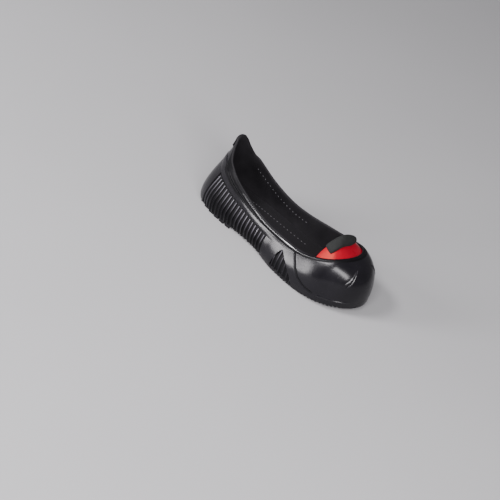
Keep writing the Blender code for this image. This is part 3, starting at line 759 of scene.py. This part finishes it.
def bar(x0, x1, y0, y1, face, root, skew=0.0, sipe=False):
    """A tread bar: a rounded profile along x, with a sipe in its middle if asked, swept from y0 to y1."""
    middle = (x0 + x1) / 2
    profile = [(x0, root), (x0, BLOCK_ROUND), (x0 + BLOCK_ROUND, 0.0)]
    if sipe:
        half, depth = SIPE["half"], SIPE["depth"]
        profile += [(middle - half, 0.0), (middle - half / 2, depth)]
        profile += [(middle + half / 2, depth), (middle + half, 0.0)]
    profile += [(x1 - BLOCK_ROUND, 0.0), (x1, BLOCK_ROUND), (x1, root)]
    sections = ((y0, BLOCK_ROUND), (y0 + BLOCK_ROUND, 0.0), (y1 - BLOCK_ROUND, 0.0), (y1, BLOCK_ROUND))
    points = []
    for y, shrink in sections:
        slide = skew * (2 * (y - y0) / (y1 - y0) - 1)
        for x, rise in profile:
            inward, up = 0.0, root
            if rise < root:
                inward, up = shrink * np.sign(middle - x), max(rise, shrink)
            points.append((x + inward + slide, y, face(x) + up))
    count, last = len(profile), len(sections) - 1
    faces = grid_faces(len(sections), count)
    faces += [tuple(range(count)), tuple(range((last + 1) * count - 1, last * count - 1, -1))]
    faces += [(k * count, (k + 1) * count, (k + 2) * count - 1, (k + 1) * count - 1) for k in range(last)]
    return points, faces


def face_at_depth(depth):
    """The face of a rib that stands this deep under the sole, as its height by x."""
    def face(x):
        return lift_at(x) - depth
    return face


def block_bars():
    """Rows of blocks at the heel and forefoot, skewed in turn to make waves."""
    for field in TREAD_FIELDS.values():
        pitch = (field["front"] - field["rear"]) / field["rows"]
        for i in range(field["rows"]):
            x0 = field["rear"] + i * pitch + TREAD_GROOVE / 2
            x1 = x0 + pitch - TREAD_GROOVE
            middle = (x0 + x1) / 2
            lateral, medial = row_limits(x0, x1)
            across = max(1, round((medial - lateral) / BLOCK_WIDTH))
            width = (medial - lateral) / across
            root = lift_at(middle) + SOLE_RECESS + ROOT - tread_floor(middle)
            for k in range(across):
                y0 = lateral + k * width + (TREAD_GROOVE / 2 if k else 0)
                y1 = lateral + (k + 1) * width - (TREAD_GROOVE / 2 if k < across - 1 else 0)
                skew = BLOCK_WAVE if k % 2 else -BLOCK_WAVE
                yield bar(x0, x1, y0, y1, tread_floor, root, skew, sipe=True)


def arch_bars():
    """Ribs across the arch."""
    pitch = (ARCH["front"] - ARCH["rear"]) / ARCH["ribs"]
    face, root = face_at_depth(ARCH["depth"]), ARCH["depth"] + SOLE_RECESS + ROOT
    for i in range(ARCH["ribs"]):
        x0 = ARCH["rear"] + i * pitch
        lateral, medial = width_at(x0 + pitch / 4, TREAD_MARGIN)
        yield bar(x0, x0 + pitch / 2, lateral, medial, face, root)


def dash_bars():
    """The row of dashes between arch and forefoot."""
    lateral, medial = width_at(DASHES["x"], 2 * TREAD_MARGIN)
    width = (medial - lateral) / DASHES["count"]
    face, root = face_at_depth(DASHES["depth"]), DASHES["depth"] + SOLE_RECESS + ROOT
    x0, x1 = DASHES["x"] - DASHES["half"], DASHES["x"] + DASHES["half"]
    for k in range(DASHES["count"]):
        y0 = lateral + (k + (1 - DASHES["fill"]) / 2) * width
        yield bar(x0, x1, y0, y0 + DASHES["fill"] * width, face, root)


def make_outsole(rubber, groove):
    """The sole's base with the tread's bars under it."""
    vertices, faces, crests, in_grooves = sole_base()
    vertices, total = [vertices], len(vertices)
    for points, sides in (*block_bars(), *arch_bars(), *dash_bars()):
        vertices.append(np.array(points))
        faces += [tuple(index + total for index in side) for side in sides]
        total += len(points)
    in_grooves = np.pad(in_grooves, (0, len(faces) - len(in_grooves)))
    piece = add_piece("rubber_outsole", "outsole", np.vstack(vertices), faces, (rubber, groove),
                      in_grooves)
    add_attribute(piece, "crest", np.pad(crests, (0, total - len(crests))))


def insole_top(place):
    """Height of the insole's upper face beside the wall."""
    return SHAPE.parting_height(place) + GAP / 2 + INSOLE_THICKNESS


def make_insole(fabric):
    """A flat sheet on the sole with a rounded upper edge."""
    bottom = PARTING + GAP / 2
    out = SHAPE.out(PLACE)
    rings = []
    for rise, inset in INSOLE_EDGE:
        height = bottom + rise * INSOLE_THICKNESS
        ring = SHAPE.offset(PLACE, SHAPE.level_at_height(PLACE, height), -WALL) - out * inset
        ring[:, 2] = height
        rings.append(ring)
    under, above = ladder(rings[0], 2), ladder(rings[-1], UNDER_ACROSS)
    vertices, faces = closed_stack(np.array(rings), under, above)
    add_piece("sock_insole", "insole", vertices, faces, (fabric,))


def crown(run, depth, share):
    """Points on the cap's crown, from 0 at the lateral rim to 1 at the medial rim."""
    to_go = (SHAPE.reach - run) / (SHAPE.reach - CAP_REAR_RUN)
    bowed = run + CAP_BOW * np.sin(np.pi * share ** CAP_BOW_SKEW) * to_go
    ends, rises = [], []
    for lateral in (True, False):
        place = leaned(bowed, 1.0, lateral)
        ends.append(SHAPE.offset(place, 1.0, -np.asarray(depth, float)))
        rises.append(SHAPE.rise_direction(place, np.ones_like(place)))
    reach = CROWN_FULLNESS * np.linalg.norm(ends[1] - ends[0], axis=-1, keepdims=True)
    lift = np.zeros((*to_go.shape, 3))
    lift[..., 2] = CROWN_LIFT * np.clip(to_go, 0, None) ** CROWN_LIFT_FADE
    one, two = [end + (rise + lift) * reach for end, rise in zip(ends, rises)]
    return bezier(ends[0], one, two, ends[1], share)


def cap_surface(depth):
    """One side of the cap as a grid: up the lateral wall, over the crown and down the medial wall."""
    runs = np.linspace(CAP_REAR_RUN, SHAPE.reach - CAP_TIP_GAP, CAP_RUNS)
    walls = []
    for lateral in (True, False):
        place = SHAPE.place(runs, lateral)
        low = SHAPE.level_at_height(place, insole_top(place) + GAP)[:, None]
        level = low + (1 - low) * np.linspace(0, 1, CAP_SIDE_ROWS)[None, :]
        walls.append(SHAPE.offset(leaned(runs[:, None], level, lateral), level, -depth))
    share = np.linspace(0, 1, CAP_SHARES + 1)[1:-1]
    run, share = np.meshgrid(runs, share, indexing="ij")
    return np.concatenate([walls[0], crown(run, depth, share), walls[1][:, ::-1]], axis=1)


def sheet_piece(outer, inner, edge_round):
    """Vertices and faces of a closed sheet between two grids, with a rounded border."""
    rows, count = outer.shape[:2]
    size = rows * count
    index = np.arange(size).reshape(rows, count)
    border = np.concatenate([index[:0:-1, 0], index[0], index[1:, -1], index[-1, -2:0:-1]])
    i, k = np.divmod(border, count)
    inward = outer[np.clip(i, 1, rows - 2), np.clip(k, 1, count - 2)] - outer[i, k]
    inward /= np.maximum(np.linalg.norm(inward, axis=1, keepdims=True), TINY)
    middle = (outer[i, k] + inner[i, k]) / 2 - inward * edge_round
    ring = 2 * size + np.arange(len(border))
    after, ring_after = np.roll(border, -1), np.roll(ring, -1)
    bands = [after, border, ring, ring_after, ring_after, ring, border + size, after + size]
    faces = grid_faces(rows, count) + grid_faces(rows, count, size, flip=True)
    faces += np.stack(bands, axis=1).reshape(-1, 4).tolist()
    return np.vstack([outer.reshape(-1, 3), inner.reshape(-1, 3), middle]), faces


def make_toe_cap(coat):
    """The protective cap, a sheet inside the toe."""
    depth = WALL + GAP
    outer, inner = cap_surface(depth), cap_surface(depth + CAP_THICKNESS)
    vertices, faces = sheet_piece(outer, inner, CAP_EDGE_ROUND)
    add_piece("coated_toe_cap", "toe_cap", vertices, faces, (coat,))


def make_pad(foam):
    """The foam strip over the cap's rear edge: full in its middle, soft at its borders."""
    across, along = np.meshgrid(np.linspace(0, 1, PAD_ACROSS), np.linspace(0, 1, PAD_ALONG), indexing="ij")
    middle = 1 - (2 * across ** PAD_SKEW - 1) ** 2
    rear, front = [np.interp(across, (0, 1), span) for span in (PAD_REAR_SPAN, PAD_FRONT_SPAN)]
    share = rear + (front - rear) * along
    end = np.interp(across, (0, 1), PAD_END_DEPTHS)
    depth = end + (PAD_DEPTH - end) * middle
    run = CAP_REAR_RUN - PAD_OVERHANG + depth * along
    swell = np.clip(4 * along * (1 - along), 0, 1) ** PAD_SWELL["along"]
    swell *= np.clip(PAD_SWELL["steepness"] * middle, 0, 1) ** PAD_SWELL["across"]
    lumps = PAD_LUMPS["height"]
    for by_across, by_along, shift in PAD_LUMPS["waves"]:
        lumps *= np.sin(by_across * across + by_along * along + shift)
    thickness = PAD_EDGE_THICKNESS + (PAD_THICKNESS - PAD_EDGE_THICKNESS + lumps) * swell
    upper = crown(run, WALL - thickness, share)
    lower = crown(run, np.full_like(run, WALL), share)
    vertices, faces = sheet_piece(upper, lower, PAD_EDGE_ROUND)
    pad = add_piece("foam_cap_pad", "cap_edge_pad", vertices, faces, (foam,))


def stitch(centre, ahead, up):
    """A short rounded thread lying along a row."""
    ahead = ahead / np.linalg.norm(ahead)
    side = np.cross(up, ahead)
    length, width, height = STITCH_SIZE
    points = []
    for turn in np.linspace(-1, 1, STITCH_RINGS):
        girth = math.sqrt(max(0.0, 1 - turn ** 4)) + STITCH_TIP
        for angle in np.linspace(0, 2 * np.pi, STITCH_SIDES, endpoint=False):
            across = side * math.cos(angle) * width / 2 + up * math.sin(angle) * height / 2
            points.append(centre + ahead * turn * length / 2 + across * girth)
    return points


def stitch_faces(start):
    """Faces of one stitch, a closed tube of rings, whose points begin at start."""
    faces = grid_faces(STITCH_RINGS, STITCH_SIDES, start, ring=True)
    last = start + (STITCH_RINGS - 1) * STITCH_SIDES
    faces.append([start + i for i in reversed(range(STITCH_SIDES))])
    faces.append([last + i for i in range(STITCH_SIDES)])
    return faces


def wall_stitch_row(lateral):
    """Centres of the stitches on one inner wall, below the rim, and the ways out of the lining."""
    run = np.arange(*WALL_STITCHES["runs"], WALL_STITCHES["pitch"])
    place, span = SHAPE.place(run, lateral), WALL_STITCHES["span"]
    height = np.linalg.norm(SHAPE.point(place, 1.0) - SHAPE.point(place, 1 - span), axis=-1)
    level = 1 - span * WALL_STITCHES["below_rim"] / height
    return SHAPE.offset(place, level, -WALL - STITCH_STAND), -SHAPE.normal(place, level)


def sole_stitch_row(lateral):
    """Centres of the stitches along one side of the insole, and the ways up."""
    run = np.arange(*SOLE_STITCHES["runs"], SOLE_STITCHES["pitch"])
    place = SHAPE.place(run, lateral)
    top = insole_top(place)
    row = SHAPE.offset(place, SHAPE.level_at_height(place, top), -WALL)
    row = row - SHAPE.out(place) * SOLE_STITCHES["inset"]
    row[:, 2] = top + STITCH_STAND
    return row, np.broadcast_to([0.0, 0.0, 1.0], row.shape)


def make_stitches(thread):
    """Rows of stitches on both inner walls and on the insole."""
    vertices, faces = [], []
    for lateral in (True, False):
        for row, up in (wall_stitch_row(lateral), sole_stitch_row(lateral)):
            for centre, forward, upward in zip(row, np.gradient(row, axis=0), up):
                faces += stitch_faces(len(vertices))
                vertices += stitch(centre, forward, upward)
    add_piece("lining_stitches", None, np.array(vertices), faces, (thread,))


class Nodes:
    """Short forms for building one material's node tree."""

    def __init__(self, name):
        self.material = bpy.data.materials.new(name)
        self.material.use_nodes = True
        self.tree = self.material.node_tree
        self.shader = self.tree.nodes["Principled BSDF"]
        self.coordinates = self.tree.nodes.new("ShaderNodeTexCoord").outputs["Object"]
        self.dark, self.light = TONES[name]

    def feed(self, node, inputs):
        """Link other nodes' outputs to a node's inputs, or set the inputs' own values."""
        for name, value in inputs.items():
            if isinstance(value, bpy.types.NodeSocket):
                self.tree.links.new(value, node.inputs[name])
            else:
                node.inputs[name].default_value = value

    def add(self, kind, inputs, **settings):
        """A new node with its settings, and its inputs by name or number."""
        node = self.tree.nodes.new("ShaderNode" + kind)
        for name, value in settings.items():
            setattr(node, name, value)
        self.feed(node, inputs)
        return node

    def noise(self, scale, detail=3.0, roughness=0.5, vector=None):
        inputs = {"Vector": vector or self.coordinates, "Scale": scale, "Detail": detail,
                  "Roughness": roughness}
        return self.add("TexNoise", inputs).outputs["Fac"]

    def weave(self, first, second, distortion):
        """Two crossing waves, each a direction and a scale, multiplied."""
        waves = []
        for direction, scale in (first, second):
            inputs = {"Vector": self.coordinates, "Scale": scale, "Distortion": distortion}
            waves.append(self.add("TexWave", inputs, bands_direction=direction).outputs["Fac"])
        return self.math("MULTIPLY", *waves)

    def ranged(self, value, low, high, start=0.0, end=1.0):
        inputs = {"Value": value, "From Min": start, "From Max": end, "To Min": low, "To Max": high}
        return self.add("MapRange", inputs).outputs["Result"]

    def math(self, operation, one, two):
        return self.add("Math", {0: one, 1: two}, operation=operation).outputs["Value"]

    def colours(self, factor, stops):
        """A colour ramp with these positions and colours."""
        node = self.add("ValToRGB", {"Fac": factor})
        ramp = node.color_ramp
        for position, _ in stops[1:-1]:
            ramp.elements.new(position)
        for element, (position, colour) in zip(ramp.elements, stops):
            element.position = position
            element.color = (*colour, 1.0)
        return node.outputs["Color"]

    def tones(self, factor, start, end):
        """A ramp from the material's dark tone to its light one."""
        return self.colours(factor, ((start, self.dark), (end, self.light)))

    def bump(self, height, distance, strength, after=None):
        inputs = {"Height": height, "Distance": distance, "Strength": strength}
        if after:
            inputs["Normal"] = after
        return self.add("Bump", inputs).outputs["Normal"]

    def finish(self, colour, roughness, normal, specular=0.5):
        """The material, once its shader has its inputs."""
        self.feed(self.shader, {"Base Color": colour, "Roughness": roughness, "Normal": normal,
                                "Specular IOR Level": specular})
        return self.material


def rubber_material(name, rough, specular=0.28):
    """Moulded rubber: fine grain, a slow change of gloss, faint scuffs, painted highlight on crests and
    arcs, and painted shade in grooves and the seam.
    """
    nodes = Nodes(name)
    cloud = nodes.noise(scale=34.0, detail=4.0)
    stretched = nodes.add("Mapping", {"Vector": nodes.coordinates, "Scale": SCUFF_STRETCH})
    scuff = nodes.noise(scale=1.0, detail=5.0, roughness=0.6, vector=stretched.outputs["Vector"])
    crest = nodes.add("Attribute", {}, attribute_name="crest").outputs["Fac"]
    painted_marks = nodes.math("MULTIPLY", crest, CREST_SHADE)
    shade = nodes.math("ADD", nodes.math("MULTIPLY", cloud, CLOUD_SHADE), painted_marks)
    # Ramp from painted shade in grooves, through the rubber's own tones, to a painted highlight on crests
    stops = ((0.0, PAINTED_SHADE_BLACK), (0.10, nodes.dark), (0.20, nodes.light), (0.75, CREST_PAINTED_HIGHLIGHT))
    gloss = nodes.ranged(cloud, *rough, start=0.32, end=0.68)
    gloss = nodes.math("ADD", gloss, nodes.ranged(scuff, low=0.0, high=0.10, start=0.58, end=0.72))
    gloss = nodes.math("ADD", gloss, nodes.math("MULTIPLY", crest, CREST_ROUGHNESS))
    slow = nodes.bump(nodes.noise(scale=140.0, detail=2.0), distance=0.00008, strength=0.5)
    grain = nodes.bump(nodes.noise(scale=2600.0, detail=2.0), distance=0.00004, strength=0.35, after=slow)
    return nodes.finish(nodes.colours(shade, stops), gloss, grain, specular)


def painted_shade_material():
    """A darker, less glossy copy of the rubber, put as painted shade in the grooves, the seam, the rim and
    the strip under the bead, with a fine grain.
    """
    nodes = Nodes("painted_shade_rubber")
    cloud = nodes.noise(scale=60.0, detail=4.0)
    grain = nodes.bump(nodes.noise(scale=1800.0, detail=3.0), distance=0.00006, strength=0.5)
    rough = nodes.ranged(cloud, low=0.42, high=0.55)
    return nodes.finish(nodes.tones(cloud, 0.3, 0.8), rough, grain, specular=0.10)


def lining_material():
    """The shell's inside: matt black rubber with a knit mark."""
    nodes = Nodes("inner_rubber")
    cloud = nodes.noise(scale=50.0)
    knit = nodes.weave(("X", 260.0), ("Z", 340.0), distortion=0.6)
    normal = nodes.bump(knit, distance=0.0001, strength=0.5)
    rough = nodes.ranged(cloud, low=0.62, high=0.78)
    return nodes.finish(nodes.tones(cloud, 0.3, 0.8), rough, normal, specular=0.2)


def insole_material():
    """Dark sock cloth with a close weave."""
    nodes = Nodes("sock_cloth")
    weave = nodes.weave(("X", 430.0), ("Y", 430.0), distortion=0.4)
    fuzz = nodes.noise(scale=900.0, detail=4.0)
    mixed = nodes.math("ADD", weave, nodes.math("MULTIPLY", fuzz, 0.5))
    threads = nodes.bump(weave, distance=0.00025, strength=0.6)
    normal = nodes.bump(fuzz, distance=0.0001, strength=0.4, after=threads)
    rough = nodes.ranged(fuzz, low=0.78, high=0.95)
    return nodes.finish(nodes.tones(mixed, 0.2, 0.9), rough, normal, specular=0.2)


def coat_material():
    """Red coat on the cap: soft gloss with a slight peel and a few darker rubs."""
    nodes = Nodes("red_coat")
    cloud = nodes.noise(scale=70.0, detail=4.0)
    peel = nodes.bump(nodes.noise(scale=900.0, detail=2.0), distance=0.00008, strength=0.5)
    rough = nodes.ranged(cloud, low=0.27, high=0.36, start=0.3, end=0.7)
    nodes.feed(nodes.shader, {"Specular Tint": COAT_TINT})
    return nodes.finish(nodes.tones(cloud, 0.25, 0.75), rough, peel)


def foam_material():
    """Dark closed-cell foam: matt, mottled, with fine pores."""
    nodes = Nodes("dark_foam")
    cloud = nodes.noise(scale=160.0, detail=5.0, roughness=0.6)
    cells = nodes.add("TexVoronoi", {"Vector": nodes.coordinates, "Scale": 1500.0})
    pores = nodes.bump(cells.outputs["Distance"], distance=0.0002, strength=0.6)
    normal = nodes.bump(nodes.noise(scale=500.0, detail=4.0), distance=0.0002, strength=0.5, after=pores)
    rough = nodes.ranged(cloud, low=0.75, high=0.92)
    return nodes.finish(nodes.tones(cloud, 0.25, 0.75), rough, normal, specular=0.25)


def thread_material():
    """Grey thread with a twist."""
    nodes = Nodes("lining_thread")
    twist = nodes.noise(scale=3000.0)
    normal = nodes.bump(twist, distance=0.0001, strength=0.5)
    return nodes.finish(nodes.tones(twist, 0.3, 0.8), nodes.ranged(twist, low=0.55, high=0.75), normal)


def floor_material():
    """Plain pale matt studio floor."""
    nodes = Nodes("pale_floor")
    cloud = nodes.noise(scale=2.0)
    normal = nodes.bump(nodes.noise(scale=500.0), distance=0.00002, strength=0.2)
    rough = nodes.ranged(cloud, low=0.66, high=0.76)
    return nodes.finish(nodes.tones(cloud, 0.3, 0.7), rough, normal, specular=0.15)


def make_floor():
    mesh = bpy.data.meshes.new("floor")
    corners = [(x * FLOOR_HALF, y * FLOOR_HALF, 0) for x, y in ((-1, -1), (1, -1), (1, 1), (-1, 1))]
    mesh.from_pydata(corners, [], [(0, 1, 2, 3)])
    mesh.materials.append(floor_material())
    floor = add_object("floor", mesh)


def direction(azimuth, elevation):
    """Unit vector from the shoe: azimuth 0 towards -Y and 90 towards +X, in degrees."""
    a, e = math.radians(azimuth), math.radians(elevation)
    return Vector((math.sin(a) * math.cos(e), -math.cos(a) * math.cos(e), math.sin(e)))


def make_lights():
    for name, (azimuth, elevation, roll, distance, size, power) in LIGHTS.items():
        light = bpy.data.lights.new(name, "AREA")
        light.shape = "RECTANGLE"
        light.size, light.size_y = size
        light.energy = power
        light.color = LIGHT_COLOUR
        lamp = add_object(name, light)
        towards = direction(azimuth, elevation)
        lamp.location = towards * distance + Vector(CAMERA_TARGET) * MM
        turn = (-towards).to_track_quat("-Z", "Y").to_matrix().to_4x4()
        turn = turn @ Matrix.Rotation(math.radians(roll), 4, "Z")
        lamp.rotation_euler = turn.to_euler()
        lamp.visible_camera = False
    world = bpy.data.worlds.new("studio")
    world.use_nodes = True
    world.node_tree.nodes["Background"].inputs["Color"].default_value = (*WORLD_GREY, 1.0)
    bpy.context.scene.world = world


def make_camera():
    """The photograph's view: set round the target, rolled, and turned so that the target lands in place."""
    back = direction(CAMERA["azimuth"], CAMERA["elevation"])
    level = direction(CAMERA["azimuth"] + 90, 0)
    upright = back.cross(level)
    roll = math.radians(CAMERA["roll"])
    right = level * math.cos(roll) + upright * math.sin(roll)
    up = upright * math.cos(roll) - level * math.sin(roll)
    target = Vector(CAMERA_TARGET)
    place = target + back * CAMERA["distance"]
    aim = target - (right * TARGET_PIXELS[0] + up * TARGET_PIXELS[1]) / CAMERA["pixels_per_mm"]
    axis = (place - aim).normalized()
    right = (right - axis * axis.dot(right)).normalized()
    up = axis.cross(right)
    data = bpy.data.cameras.new("photo_view")
    data.sensor_width = SENSOR
    data.lens = CAMERA["pixels_per_mm"] * CAMERA["distance"] * SENSOR / IMAGE_PIXELS
    data.clip_start, data.clip_end = CAMERA_CLIP
    camera = add_object("photo_view", data)
    turn = Matrix((right, up, axis)).transposed().to_4x4()
    camera.matrix_world = Matrix.Translation(place * MM) @ turn
    bpy.context.scene.camera = camera


def main():
    make_camera()
    make_floor()
    make_lights()
    rubber = rubber_material("upper_rubber", rough=(0.18, 0.25))
    tread = rubber_material("sole_rubber", rough=(0.26, 0.36))
    # A glossier, lighter copy of the rubber that paints the bead's highlight line
    bead_highlight = rubber_material("bead_highlight_rubber", rough=(0.13, 0.19), specular=0.7)
    # A darker matt copy of the rubber that paints shade in grooves, seam, rim and the strip under the bead
    groove = painted_shade_material()
    make_upper(rubber, lining_material(), groove, bead_highlight)
    make_outsole(tread, groove)
    make_insole(insole_material())
    make_toe_cap(coat_material())
    make_pad(foam_material())
    make_stitches(thread_material())


main()
